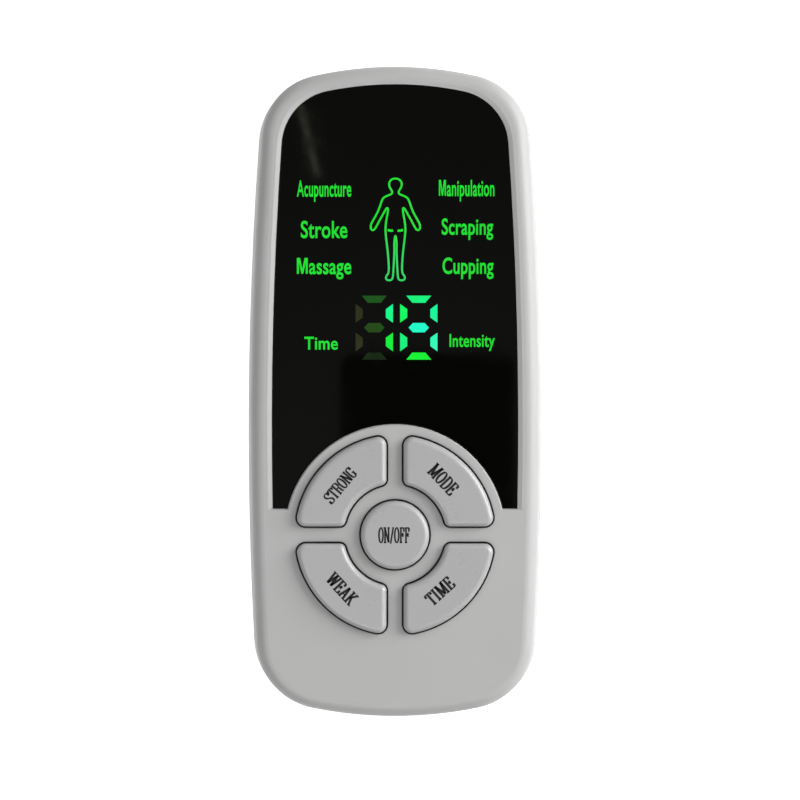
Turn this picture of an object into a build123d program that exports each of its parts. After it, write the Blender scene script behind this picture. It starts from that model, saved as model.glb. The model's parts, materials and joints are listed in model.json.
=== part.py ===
"""A hand-held TENS unit: two case shells, a smoked display window, five keys round a dial, three AAA
cells behind a sliding door, and the board that carries the display, the key switches and the sockets.

Millimetres. The unit lies on its back. The origin is on the plane of the back, at the middle of the
body's length and width. +X is to the right of the display, +Y towards the sockets, +Z out of the display.
"""

import os
from math import cos, hypot, radians, sin, tan

from build123d import *

# ---- case: outline, wall and heights ----
BODY_LENGTH = 130.0
BODY_WIDTH = 58.8
SIDE_BOW = 800.0  # radius of each long side
SIDE_BOW_Y = -7.5  # where the sides are widest
TOP_BOW = 73.0  # radius of the socket end
BOTTOM_BOW = 83.0  # radius of the other end
TOP_CORNER = 14.0
BOTTOM_CORNER = 14.7
WALL = 2.0
FACE_Z = 22.4  # front face
PARTING_Z = 8.0  # where the two shells meet
UPPER_DRAFT = 5.0  # degrees
LOWER_DRAFT = 7.0
FACE_EDGE = 2.5  # rounding where the sides turn into the front face
BACK_EDGE = 3.5
SEAM_CHAMFER = 0.25
TONGUE_HEIGHT = 0.9  # lip of the lower shell that locates the upper one
TONGUE_OUTER = 1.0  # inset of its outer side from the outline
FIT_GAP = 0.1

# ---- display window and the layers behind it ----
WINDOW_HALF_WIDTH = 24.1
WINDOW_TOP = 60.2
WINDOW_BOTTOM = -22.95
WINDOW_TOP_BOW = 66.5
WINDOW_SIDE_BOW_Y = -6.6
WINDOW_CORNER = 11.1
WINDOW_Z = 22.1  # front of the window, a little below the face
WINDOW_THICK = 1.4
TAPE_THICK = 0.2
TAPE_WIDTH = 1.8
POCKET_FLOOR = 1.2
RIM_SLOPE = 0.85  # width over which the rim falls towards the window
DIAL_SLOPE = 0.25
MODULE_WIDTH = 43.0
MODULE_LENGTH = 41.0
MODULE_Y = 24.4
MODULE_TOP = 20.3
FILM_THICK = 0.2

# ---- key dial ----
DIAL_Y = -28.15
DIAL_RADIUS = 21.8
KEY_RING_OUTER = 19.85
KEY_RING_INNER = 9.75
KEY_CROSS = 2.75  # bar of the face between two neighbouring key holes
KEY_OUTER_CORNER = 2.0
KEY_INNER_CORNER = 1.5
POWER_RADIUS = 7.0
KEY_GAP = 0.30
KEY_TOP = 24.2
KEY_EDGE = 1.1
KEY_WALL = 1.2
FLANGE_LIP = 0.80  # how far a key's flange stands out beyond its cap
FLANGE_THICK = 0.85
FLANGE_CLEAR = 0.05
HOLE_EDGE = 0.12
KEY_CENTRE = 10.3  # a ring key's post and switch, from the dial's centre, along each of its sides
POST_RADIUS = 1.6
KEY_TURNS = {"mode": 0, "strong": 90, "weak": 180, "time": 270}  # degrees round the dial

# ---- board and switches ----
BOARD_TOP = 16.0
BOARD_THICK = 1.6
BOARD_INSET = 3.3
SWITCH_SIDE = 6.0
SWITCH_HEIGHT = 2.6
PLUNGER_FIT = 0.05
PLUNGER_RADIUS = 1.7
PLUNGER_TOP = 19.4
PLUNGER_BOTTOM = 17.5
WELL_BOTTOM = 16.9

# ---- battery box ----
CELL_RADIUS = 5.25
CELL_LENGTH = 44.5  # with its nub
CELL_PITCH = 10.7
CELL_Z = 7.35
NUB_RADIUS = 1.9
NUB_LENGTH = 0.9
BOX_HALF_WIDTH = 16.3
BOX_LOW_Y = -56.2
BOX_HIGH_Y = -6.2
BOX_WALL = 1.2
BOX_ROOF_Z = 12.8
PLATE_THICK = 0.3
SPRING_RADIUS = 3.1
SPRING_WIRE = 0.3
SPRING_PITCH = 1.25

# ---- battery door ----
DOOR_THICK = 1.8
DOOR_HALF_WIDTH = 17.6
DOOR_HIGH_Y = -4.5
DOOR_END_HEIGHT = 4.5
DOOR_GAP = 0.15
RAIL_REACH = 0.9  # how far the door's rails stand out beyond its sides
RAIL_LOW = 1.0
END_BAY_Y = BOX_LOW_Y - BOX_WALL

# ---- sockets, screws ----
SOCKET_Z = 11.8
JACK_X = 12.5
JACK_BORE = 1.3
JACK_SNOUT = 2.55
JACK_HOLE = 2.9
JACK_FRONT = 62.9
JACK_BODY_FRONT = 60.2
CASE_SCREWS = [(-21.4, 49.5), (21.4, 49.5), (-21.6, -49.5), (21.6, -49.5)]
BOARD_SCREWS = [(-6.6, 48.5), (6.6, 48.5), (-22.8, -0.5), (22.8, -0.5), (-23.2, -41.5), (23.2, -41.5)]
BOSS_RADIUS = 3.2
BOSS_JOIN_Z = 10.5
HEAD_SEAT_Z = 5.0
SCREW_HEAD = 2.0
SCREW_SHANK = 1.0
USB_WIDTH = 7.7
USB_HEIGHT = 3.9
USB_FRONT = 63.4
LABEL_WIDTH = 36.0
LABEL_LENGTH = 24.0
LABEL_Y = 28.0

board_bottom = BOARD_TOP - BOARD_THICK
plate_bottom = FACE_Z - WALL
pocket_z = WINDOW_Z - WINDOW_THICK - TAPE_THICK
flange_top = plate_bottom - FLANGE_CLEAR
flange_bottom = flange_top - FLANGE_THICK
low_plate_y = BOX_LOW_Y + PLATE_THICK
high_plate_y = BOX_HIGH_Y - PLATE_THICK
TAB_SPOTS = [(-CELL_PITCH, BOX_HIGH_Y - PLATE_THICK / 2), (CELL_PITCH, BOX_LOW_Y + PLATE_THICK / 2)]

os.makedirs("parts", exist_ok=True)


def save(builder, name):
    """Labels a finished piece and writes it."""
    builder.part.label = name
    export_step(builder.part, f"parts/{name}.step")


def body_outline(sketch, inset=0.0):
    """The body's outline, inset all round: four bowed sides with rounded corners."""
    for side in (-1, 1):
        with Locations((side * (BODY_WIDTH / 2 - SIDE_BOW), SIDE_BOW_Y)):
            Circle(SIDE_BOW - inset, mode=Mode.INTERSECT if side > 0 else Mode.ADD)
    with Locations((0, BODY_LENGTH / 2 - TOP_BOW)):
        Circle(TOP_BOW - inset, mode=Mode.INTERSECT)
    with Locations((0, BOTTOM_BOW - BODY_LENGTH / 2)):
        Circle(BOTTOM_BOW - inset, mode=Mode.INTERSECT)
    fillet(sketch.vertices().sort_by(Axis.Y)[-2:], TOP_CORNER - inset)
    fillet(sketch.vertices().sort_by(Axis.Y)[:2], BOTTOM_CORNER - inset)


def window_outline(sketch, grow=0.0, low_grow=None):
    """The display window: bowed sides, an arched top, square lower corners and a bite for the dial."""
    low_grow = grow if low_grow is None else low_grow
    for side in (-1, 1):
        with Locations((side * (WINDOW_HALF_WIDTH - SIDE_BOW), WINDOW_SIDE_BOW_Y)):
            Circle(SIDE_BOW + grow, mode=Mode.INTERSECT if side > 0 else Mode.ADD)
    with Locations((0, WINDOW_TOP - WINDOW_TOP_BOW)):
        Circle(WINDOW_TOP_BOW + grow, mode=Mode.INTERSECT)
    fillet(sketch.vertices().sort_by(Axis.Y)[-2:], WINDOW_CORNER + grow)
    with Locations((0, WINDOW_BOTTOM - low_grow)):
        Rectangle(BODY_WIDTH, BODY_LENGTH, align=(Align.CENTER, Align.MIN), mode=Mode.INTERSECT)
    with Locations((0, DIAL_Y)):
        Circle(DIAL_RADIUS - low_grow, mode=Mode.SUBTRACT)


def key_outline(sketch, inset=0.0):
    """One ring key's outline on a dial plane, shrunk by inset."""
    near = KEY_CROSS / 2 + inset
    Circle(KEY_RING_OUTER - inset)
    Circle(KEY_RING_INNER + inset, mode=Mode.SUBTRACT)
    with Locations((near, near)):
        Rectangle(KEY_RING_OUTER, KEY_RING_OUTER, align=(Align.MIN, Align.MIN), mode=Mode.INTERSECT)
    fillet(sketch.vertices().sort_by(lambda v: hypot(v.X, v.Y))[-2:], max(KEY_OUTER_CORNER - inset, 0.3))
    fillet(sketch.vertices().sort_by(lambda v: hypot(v.X, v.Y))[:2], max(KEY_INNER_CORNER - inset, 0.3))


def dial_plane(z, turn=0):
    """A plane at height z on the dial's centre, turned so that one ring key is in its positive quarter."""
    return Plane(origin=(0, DIAL_Y, z), x_dir=(cos(radians(turn)), sin(radians(turn)), 0), z_dir=(0, 0, 1))


def box(low, high, mode=Mode.ADD):
    """A box between two corners."""
    with Locations(low):
        Box(*[b - a for a, b in zip(low, high)], align=(Align.MIN, Align.MIN, Align.MIN), mode=mode)


def disc(x, y, z_from, z_to, radius, mode=Mode.ADD):
    """A round bar along Z."""
    with Locations((x, y, z_from)):
        Cylinder(radius, z_to - z_from, align=(Align.CENTER, Align.CENTER, Align.MIN), mode=mode)


def drafted(z_from, z_to, draft, inset=0.0, chamfered=0.0, mode=Mode.ADD):
    """The body's outline drawn in by the draft angle as it runs away from the seam."""
    slope = tan(radians(draft)) / (1 if z_to > z_from else -1)
    levels = [(z_from, inset), (z_to, inset + (z_to - z_from) * slope)]
    if chamfered:
        step = chamfered if z_to > z_from else -chamfered
        levels[:1] = [(z_from, inset + chamfered), (z_from + step, inset + step * slope)]
    sections = []
    for z, drawn_in in levels:
        with BuildSketch(Plane.XY.offset(z)) as section:
            body_outline(section, drawn_in)
        sections.append(section.sketch.face())
    loft(sections, ruled=True, mode=mode)


# ---------------------------------------------------------------- case shells
with BuildPart() as upper_case:
    drafted(PARTING_Z, FACE_Z, UPPER_DRAFT, chamfered=SEAM_CHAMFER)
    fillet(upper_case.faces().sort_by(Axis.Z)[-1].edges(), FACE_EDGE)
    drafted(PARTING_Z, plate_bottom, UPPER_DRAFT, inset=WALL, mode=Mode.SUBTRACT)
    # seat for the lower shell's tongue
    with BuildSketch(Plane.XY.offset(PARTING_Z)) as seat:
        body_outline(seat, TONGUE_OUTER - FIT_GAP)
    extrude(amount=TONGUE_HEIGHT + FIT_GAP, mode=Mode.SUBTRACT)
    # pocket for the window, with an opening over the display module
    with BuildSketch(Plane.XY.offset(pocket_z - POCKET_FLOOR)) as floor:
        window_outline(floor, FIT_GAP + 1.0)
    extrude(amount=POCKET_FLOOR)
    with BuildSketch(Plane.XY.offset(pocket_z)) as pocket:
        window_outline(pocket, FIT_GAP)
    extrude(amount=FACE_Z - pocket_z, mode=Mode.SUBTRACT)
    with BuildSketch(Plane.XY.offset(WINDOW_Z)) as rim_foot:
        window_outline(rim_foot, FIT_GAP)
    with BuildSketch(Plane.XY.offset(FACE_Z)) as rim_brow:
        window_outline(rim_brow, FIT_GAP + RIM_SLOPE, FIT_GAP + DIAL_SLOPE)
    loft(ruled=True, mode=Mode.SUBTRACT)
    with BuildSketch(Plane.XY.offset(pocket_z - POCKET_FLOOR)) as module_opening:
        with Locations((0, MODULE_Y)):
            RectangleRounded(MODULE_WIDTH + 0.6, MODULE_LENGTH + 0.6, 0.4)
    extrude(amount=POCKET_FLOOR, mode=Mode.SUBTRACT)
    # key holes
    for turn in KEY_TURNS.values():
        with BuildSketch(dial_plane(plate_bottom, turn)) as hole:
            key_outline(hole)
        extrude(amount=WALL, mode=Mode.SUBTRACT)
    with BuildSketch(dial_plane(plate_bottom)):
        Circle(POWER_RADIUS)
    extrude(amount=WALL, mode=Mode.SUBTRACT)
    rims = upper_case.faces().sort_by(Axis.Z)[-1].inner_wires().sort_by(SortBy.LENGTH)
    fillet([edge for rim in rims[:-1] for edge in rim.edges()], HOLE_EDGE)
    # screw bosses and board posts, bored for self-tapping screws
    for x, y in CASE_SCREWS:
        disc(x, y, BOSS_JOIN_Z, plate_bottom, BOSS_RADIUS)
        disc(x, y, BOSS_JOIN_Z, 17.5, SCREW_SHANK + 0.05, Mode.SUBTRACT)
    for x, y in BOARD_SCREWS:
        disc(x, y, BOARD_TOP, plate_bottom, 2.2)
        disc(x, y, BOARD_TOP, 18.8, 0.85, Mode.SUBTRACT)
    # openings in the socket end
    for x in (-JACK_X, JACK_X):
        with BuildSketch(Plane.XZ.offset(-58)):
            with Locations((x, SOCKET_Z)):
                Circle(JACK_HOLE)
        extrude(amount=-9, mode=Mode.SUBTRACT)
    with BuildSketch(Plane.XZ.offset(-58)):
        with Locations((0, board_bottom - 1.95)):
            RectangleRounded(8.5, 4.7, 1.2)
    extrude(amount=-9, mode=Mode.SUBTRACT)
save(upper_case, "upper_case")

with BuildPart() as lower_case:
    drafted(PARTING_Z, 0, LOWER_DRAFT, chamfered=SEAM_CHAMFER)
    fillet(lower_case.faces().sort_by(Axis.Z)[0].edges(), BACK_EDGE)
    drafted(PARTING_Z, WALL, LOWER_DRAFT, inset=WALL, mode=Mode.SUBTRACT)
    with BuildSketch(Plane.XY.offset(PARTING_Z - 1)) as tongue:
        body_outline(tongue, TONGUE_OUTER)
    extrude(amount=TONGUE_HEIGHT + 1)
    with BuildSketch(Plane.XY.offset(PARTING_Z - 1)) as tongue_inside:
        body_outline(tongue_inside, WALL)
    extrude(amount=TONGUE_HEIGHT + 1, mode=Mode.SUBTRACT)
    # shelf and sides of the bay that the door's turned-up end fills
    with BuildSketch(Plane.XY.offset(DOOR_THICK)) as bay:
        body_outline(bay, 1.6)
        with Locations((0, END_BAY_Y)):
            Rectangle(38.4, 20, align=(Align.CENTER, Align.MAX), mode=Mode.INTERSECT)
    extrude(amount=DOOR_END_HEIGHT + DOOR_GAP + BOX_WALL - DOOR_THICK)
    # battery box with its roof, and the rails that guide the door
    box_side = BOX_HALF_WIDTH + BOX_WALL
    box((-box_side, END_BAY_Y, DOOR_THICK + DOOR_GAP), (box_side, BOX_HIGH_Y + BOX_WALL, BOX_ROOF_Z + 1.0))
    box((-20, END_BAY_Y, DOOR_THICK), (20, DOOR_HIGH_Y + 2.6, 3.2))
    box((-BOX_HALF_WIDTH, BOX_LOW_Y, 0), (BOX_HALF_WIDTH, BOX_HIGH_Y, BOX_ROOF_Z), Mode.SUBTRACT)
    for x in (-CELL_PITCH / 2, CELL_PITCH / 2):
        box((x - 0.8, BOX_LOW_Y, 11.2), (x + 0.8, BOX_HIGH_Y, BOX_ROOF_Z + 0.2))
    for x, y in CASE_SCREWS:
        disc(x, y, WALL - 0.5, BOSS_JOIN_Z, BOSS_RADIUS)
    for x, y in TAB_SPOTS:
        box((x - 1.4, y - 0.3, BOX_ROOF_Z - 0.1), (x + 1.4, y + 0.3, BOX_ROOF_Z + 1.1), Mode.SUBTRACT)
    with BuildSketch(Plane.XY):
        with Locations((0, LABEL_Y)):
            RectangleRounded(LABEL_WIDTH + 0.6, LABEL_LENGTH + 0.6, 1.5)
    extrude(amount=0.3, mode=Mode.SUBTRACT)
    door_side = DOOR_HALF_WIDTH + DOOR_GAP
    door_top = DOOR_THICK + DOOR_GAP
    box((-door_side, -70, -1), (door_side, DOOR_HIGH_Y + DOOR_GAP, door_top), Mode.SUBTRACT)
    box((-door_side, -70, -1), (door_side, END_BAY_Y - DOOR_GAP, DOOR_END_HEIGHT + DOOR_GAP), Mode.SUBTRACT)
    box(
        (-door_side - RAIL_REACH, -70, RAIL_LOW - DOOR_GAP),
        (door_side + RAIL_REACH, DOOR_HIGH_Y + RAIL_REACH + 2 * DOOR_GAP, door_top),
        Mode.SUBTRACT,
    )
    for x, y in CASE_SCREWS:
        disc(x, y, -1, HEAD_SEAT_Z, SCREW_HEAD + 0.25, Mode.SUBTRACT)
        disc(x, y, 0, BOSS_JOIN_Z, SCREW_SHANK + 0.15, Mode.SUBTRACT)
save(lower_case, "lower_case")

with BuildPart() as door_space:
    box((-DOOR_HALF_WIDTH, -70, 0), (DOOR_HALF_WIDTH, DOOR_HIGH_Y, DOOR_END_HEIGHT))
    rail = DOOR_HALF_WIDTH + RAIL_REACH
    box((-rail, -70, RAIL_LOW), (rail, DOOR_HIGH_Y + RAIL_REACH, DOOR_THICK))

with BuildPart() as battery_door:
    drafted(PARTING_Z, 0, LOWER_DRAFT)
    fillet(battery_door.faces().sort_by(Axis.Z)[0].edges(), BACK_EDGE)
    add(door_space.part, mode=Mode.INTERSECT)
    with BuildSketch(Plane.XY.offset(DOOR_THICK)) as hollow:
        body_outline(hollow, WALL + 0.9)
    extrude(amount=DOOR_END_HEIGHT, mode=Mode.SUBTRACT)
    # thumb grip: an arrow that points the way the door slides, above a row of ridges
    with BuildSketch(Plane.XY) as arrow:
        with Locations((0, -45)):
            Polygon((-5, 0), (5, 0), (0, -5), align=None)
    extrude(amount=0.4, mode=Mode.SUBTRACT)
    for row in range(5):
        y = -53.5 - 1.6 * row
        box((-8, y - 0.4, -1), (8, y + 0.4, 0.4), Mode.SUBTRACT)
save(battery_door, "battery_door")

with BuildPart() as rating_label:
    with BuildSketch(Plane.XY.offset(0.15)):
        with Locations((0, LABEL_Y)):
            RectangleRounded(LABEL_WIDTH, LABEL_LENGTH, 1.2)
    extrude(amount=0.15)
save(rating_label, "rating_label")

# ---------------------------------------------------------------- display
with BuildPart() as display_window:
    with BuildSketch(Plane.XY.offset(WINDOW_Z - WINDOW_THICK)) as glass:
        window_outline(glass)
    extrude(amount=WINDOW_THICK)
    chamfer(display_window.faces().sort_by(Axis.Z)[-1].edges(), 0.12)
save(display_window, "display_window")

with BuildPart() as window_tape:
    with BuildSketch(Plane.XY.offset(pocket_z)) as tape:
        window_outline(tape, -0.3)
    extrude(amount=TAPE_THICK)
    with BuildSketch(Plane.XY.offset(pocket_z)) as inside:
        window_outline(inside, -0.3 - TAPE_WIDTH)
    extrude(amount=TAPE_THICK, mode=Mode.SUBTRACT)
save(window_tape, "window_tape")

LEGEND_SPOTS = [(-13.9, 40.2), (-13.9, 32.3), (-13.9, 24.7), (14.1, 40.2), (14.1, 32.3), (14.1, 24.7)]
LOW_LEGEND_SPOTS = [(-14.6, 9.6), (15.1, 9.9)]
DIGIT_SPOTS = [(-4.25, 12.6), (4.55, 12.6)]
SEGMENT_SPOTS = [(0, 5.6), (0, 0), (0, -5.6), (-2.9, 2.9), (2.9, 2.9), (-2.9, -2.9), (2.9, -2.9)]
light_floor = BOARD_TOP + 1.2

with BuildPart() as display_module:
    half = (MODULE_WIDTH / 2, MODULE_LENGTH / 2)
    box((-half[0], MODULE_Y - half[1], BOARD_TOP), (half[0], MODULE_Y + half[1], MODULE_TOP))
    with BuildSketch(Plane.XY.offset(light_floor)):
        with Locations(LEGEND_SPOTS, LOW_LEGEND_SPOTS):
            RectangleRounded(11.8, 5.0, 0.6)
        with Locations((0, 32.0)):
            RectangleRounded(12.0, 21.6, 0.6)
        for x, y in DIGIT_SPOTS:
            with Locations(*[(x + dx, y + dy) for dx, dy in SEGMENT_SPOTS[:3]]):
                RectangleRounded(4.6, 1.6, 0.3)
            with Locations(*[(x + dx, y + dy) for dx, dy in SEGMENT_SPOTS[3:]]):
                RectangleRounded(1.6, 4.0, 0.3)
    extrude(amount=MODULE_TOP - light_floor, mode=Mode.SUBTRACT)
save(display_module, "display_module")

with BuildPart() as display_leds:
    figure_spots = [(0, 24.5), (0, 32.0), (0, 39.5)]
    digit_leds = [(x + dx, y + dy) for x, y in DIGIT_SPOTS for dx, dy in SEGMENT_SPOTS]
    for x, y in LEGEND_SPOTS + LOW_LEGEND_SPOTS + figure_spots + digit_leds:
        box((x - 0.6, y - 0.6, light_floor), (x + 0.6, y + 0.6, light_floor + 0.6))
save(display_leds, "display_leds")

with BuildPart() as display_film:
    box((-half[0], MODULE_Y - half[1], MODULE_TOP), (half[0], MODULE_Y + half[1], MODULE_TOP + FILM_THICK))
save(display_film, "display_film")

# ---------------------------------------------------------------- keys and their switches
switch_spots = {"power": (0, DIAL_Y)}
for name, turn in KEY_TURNS.items():
    spot = dial_plane(0, turn).from_local_coords(Vector(KEY_CENTRE, KEY_CENTRE, 0))
    switch_spots[name] = (spot.X, spot.Y)

for name, turn in KEY_TURNS.items():
    x, y = switch_spots[name]
    with BuildPart() as ring_key:
        with BuildSketch(dial_plane(flange_bottom, turn)) as cap:
            key_outline(cap, KEY_GAP)
        extrude(amount=KEY_TOP - flange_bottom)
        fillet(ring_key.faces().sort_by(Axis.Z)[-1].edges(), KEY_EDGE)
        with BuildSketch(dial_plane(flange_bottom, turn)) as flange:
            key_outline(flange, KEY_GAP - FLANGE_LIP)
        extrude(amount=FLANGE_THICK)
        with BuildSketch(dial_plane(flange_bottom, turn)) as hollow:
            key_outline(hollow, KEY_GAP + KEY_WALL)
        extrude(amount=KEY_TOP - KEY_WALL - flange_bottom, mode=Mode.SUBTRACT)
        disc(x, y, PLUNGER_TOP, KEY_TOP - KEY_WALL, POST_RADIUS)
    save(ring_key, f"{name}_key")

with BuildPart() as power_key:
    disc(0, DIAL_Y, flange_bottom, KEY_TOP, POWER_RADIUS - KEY_GAP)
    fillet(power_key.faces().sort_by(Axis.Z)[-1].edges(), KEY_EDGE)
    disc(0, DIAL_Y, flange_bottom, flange_top, POWER_RADIUS - KEY_GAP + FLANGE_LIP)
    disc(0, DIAL_Y, flange_bottom, KEY_TOP - KEY_WALL, POWER_RADIUS - KEY_GAP - KEY_WALL, Mode.SUBTRACT)
    disc(0, DIAL_Y, PLUNGER_TOP, KEY_TOP - KEY_WALL, POST_RADIUS)
save(power_key, "power_key")

for name, (x, y) in switch_spots.items():
    with BuildPart() as plunger:
        disc(x, y, PLUNGER_BOTTOM, PLUNGER_TOP, PLUNGER_RADIUS)
        chamfer(plunger.faces().sort_by(Axis.Z)[-1].edges(), 0.15)
    save(plunger, f"{name}_plunger")

with BuildPart() as switch_bodies:
    for x, y in switch_spots.values():
        half_side = SWITCH_SIDE / 2
        low = (x - half_side, y - half_side, BOARD_TOP)
        box(low, (x + half_side, y + half_side, BOARD_TOP + SWITCH_HEIGHT))
    chamfer(switch_bodies.edges().filter_by(Axis.Z), 0.5)
    for x, y in switch_spots.values():
        disc(x, y, WELL_BOTTOM, 20, PLUNGER_RADIUS + PLUNGER_FIT, Mode.SUBTRACT)
save(switch_bodies, "switch_bodies")

# ---------------------------------------------------------------- board and what it carries
with BuildPart() as main_board:
    with BuildSketch(Plane.XY.offset(board_bottom)) as board:
        body_outline(board, BOARD_INSET)
        with Locations(*CASE_SCREWS):
            Circle(BOSS_RADIUS + 0.5, mode=Mode.SUBTRACT)
        for x, y in CASE_SCREWS:
            with Locations((x + (4 if x > 0 else -4), y)):
                Rectangle(8, 2 * BOSS_RADIUS + 1, mode=Mode.SUBTRACT)
        with Locations(*BOARD_SCREWS):
            Circle(SCREW_SHANK, mode=Mode.SUBTRACT)
        with Locations(*TAB_SPOTS):
            Rectangle(2.6, 0.7, mode=Mode.SUBTRACT)
    extrude(amount=BOARD_THICK)
save(main_board, "main_board")

with BuildPart() as microcontroller:
    box((-5, -1, board_bottom - 1.6), (5, 9, board_bottom - 0.2))
    chamfer(microcontroller.edges().filter_by(Axis.Z), 0.4)
    for n in range(8):
        offset = -3.5 + n
        box((offset - 0.15, -2, board_bottom - 0.2), (offset + 0.15, 10, board_bottom))
        box((-6, 4 + offset - 0.15, board_bottom - 0.2), (6, 4 + offset + 0.15, board_bottom))
save(microcontroller, "microcontroller")

with BuildPart() as output_transformers:
    for x in (-16.5, 16.5):
        box((x - 6.5, 28, board_bottom - 9.5), (x + 6.5, 38, board_bottom - 0.6))
        box((x - 4.2, 26, board_bottom - 8.2), (x + 4.2, 40, board_bottom - 1.9))
        box((x - 4.6, 25.4, board_bottom - 1.9), (x + 4.6, 40.6, board_bottom))
save(output_transformers, "output_transformers")

with BuildPart() as capacitors:
    cans = [(-5, 33, 3.15, 9.0), (5, 33, 3.15, 9.0), (-17, 14, 2.5, 8.0), (17, 14, 2.5, 8.0)]
    for x, y, radius, height in cans:
        disc(x, y, board_bottom - height, board_bottom, radius)
    ends = capacitors.faces().group_by(Axis.Z)
    fillet(ends[0].edges() + ends[1].edges(), 0.4)
save(capacitors, "capacitors")

with BuildPart() as buzzer:
    disc(0, 22, board_bottom - 6.5, board_bottom, 6.0)
    disc(0, 22, board_bottom - 7, board_bottom - 5.5, 1.0, Mode.SUBTRACT)
save(buzzer, "buzzer")

with BuildPart() as crystal:
    with BuildSketch(Plane.XY.offset(board_bottom)):
        with Locations((11.5, 6)):
            SlotOverall(10.2, 4.0, rotation=90)
    extrude(amount=-3.5)
    fillet(crystal.faces().sort_by(Axis.Z)[0].edges(), 0.4)
save(crystal, "crystal")

with BuildPart() as transistors:
    for x, y in [(-12, 22), (-12, 18), (12, 22), (12, 18), (-11.5, 6), (-16, 5)]:
        box((x - 1.45, y - 0.65, board_bottom - 1.0), (x + 1.45, y + 0.65, board_bottom - 0.1))
        for dx, side in [(-0.95, 1), (0.95, 1), (0, -1)]:
            low = (x + dx - 0.2, y + min(0, side * 1.2), board_bottom - 0.1)
            box(low, (x + dx + 0.2, y + max(0, side * 1.2), board_bottom))
save(transistors, "transistors")

with BuildPart() as chip_resistors:
    for row in range(2):
        for n in range(8):
            x, y = -14 + 4 * n, 42.8 + 2.6 * row - 0.8
            box((x - 1.0, y - 0.6, board_bottom - 0.5), (x + 1.0, y + 0.6, board_bottom))
save(chip_resistors, "chip_resistors")

for name, x in [("left", -JACK_X), ("right", JACK_X)]:
    with BuildPart() as jack:
        box((x - 3.2, 48, SOCKET_Z - 2.5), (x + 3.2, JACK_BODY_FRONT, board_bottom))
        with BuildSketch(Plane.XZ.offset(-JACK_BODY_FRONT)):
            with Locations((x, SOCKET_Z)):
                Circle(JACK_SNOUT)
        extrude(amount=JACK_BODY_FRONT - JACK_FRONT)
        with BuildSketch(Plane.XZ.offset(-JACK_FRONT)):
            with Locations((x, SOCKET_Z)):
                Circle(JACK_BORE)
        extrude(amount=12.0, mode=Mode.SUBTRACT)
    save(jack, f"{name}_jack")

with BuildPart() as usb_socket:
    socket_z = board_bottom - USB_HEIGHT / 2
    with BuildSketch(Plane.XZ.offset(-USB_FRONT)):
        with Locations((0, socket_z)):
            RectangleRounded(USB_WIDTH, USB_HEIGHT, 0.9)
    extrude(amount=9.2)
    with BuildSketch(Plane.XZ.offset(-USB_FRONT)):
        with Locations((0, socket_z)):
            RectangleRounded(USB_WIDTH - 0.7, USB_HEIGHT - 0.7, 0.6)
    extrude(amount=7.5, mode=Mode.SUBTRACT)
    box((-2.6, USB_FRONT - 8, socket_z - 0.1), (2.6, USB_FRONT - 0.8, socket_z + 0.7))
save(usb_socket, "usb_socket")

# ---------------------------------------------------------------- cells and their contacts
nub_at_high_end = {"left": True, "middle": False, "right": True}
for n, (name, high) in enumerate(nub_at_high_end.items()):
    sign = 1 if high else -1
    tip = high_plate_y if high else low_plate_y
    with BuildPart() as cell:
        axis = Plane(origin=((n - 1) * CELL_PITCH, tip, CELL_Z), x_dir=(1, 0, 0), z_dir=(0, -sign, 0))
        with BuildSketch(axis.offset(NUB_LENGTH)):
            Circle(CELL_RADIUS)
        extrude(amount=CELL_LENGTH - NUB_LENGTH)
        fillet(cell.edges().filter_by(GeomType.CIRCLE), 0.5)
        with BuildSketch(axis):
            Circle(NUB_RADIUS)
        extrude(amount=NUB_LENGTH + 0.1)
    save(cell, f"cell_{name}")

with BuildPart() as cell_springs:
    for n, high in enumerate(nub_at_high_end.values()):
        start = low_plate_y + SPRING_WIRE + 0.01 if high else high_plate_y - SPRING_WIRE - 0.01
        length = BOX_HIGH_Y - BOX_LOW_Y - 2 * PLATE_THICK - CELL_LENGTH - 2 * SPRING_WIRE - 0.02
        with BuildLine() as coil:
            foot = ((n - 1) * CELL_PITCH, start, CELL_Z)
            Helix(SPRING_PITCH, length, SPRING_RADIUS, center=foot, direction=(0, 1 if high else -1, 0))
        with BuildSketch(Plane(origin=coil.line @ 0, z_dir=coil.line % 0)):
            Circle(SPRING_WIRE)
        sweep(path=coil.line, is_frenet=True)
save(cell_springs, "cell_springs")

plate_low, plate_high = 3.0, 11.0
with BuildPart() as bridge_plates:
    for x, y in [(-CELL_PITCH / 2, BOX_LOW_Y), (CELL_PITCH / 2, high_plate_y)]:
        box((x - 9.4, y, plate_low), (x + 9.4, y + PLATE_THICK, plate_high))
save(bridge_plates, "bridge_plates")

with BuildPart() as terminal_plates:
    for x, y in TAB_SPOTS:
        y -= PLATE_THICK / 2
        box((x - 4.2, y, plate_low), (x + 4.2, y + PLATE_THICK, plate_high))
        box((x - 1.1, y, plate_high), (x + 1.1, y + PLATE_THICK, BOARD_TOP + 0.6))
save(terminal_plates, "terminal_plates")

# ---------------------------------------------------------------- screws
with BuildPart() as case_screws:
    for x, y in CASE_SCREWS:
        disc(x, y, HEAD_SEAT_Z, 17.0, SCREW_SHANK)
        disc(x, y, HEAD_SEAT_Z - 1.6, HEAD_SEAT_Z, SCREW_HEAD)
        for size in [(1.2, 0.3), (0.3, 1.2)]:
            low = (x - size[0], y - size[1], HEAD_SEAT_Z - 1.6)
            box(low, (x + size[0], y + size[1], HEAD_SEAT_Z - 0.7), Mode.SUBTRACT)
save(case_screws, "case_screws")

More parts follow.
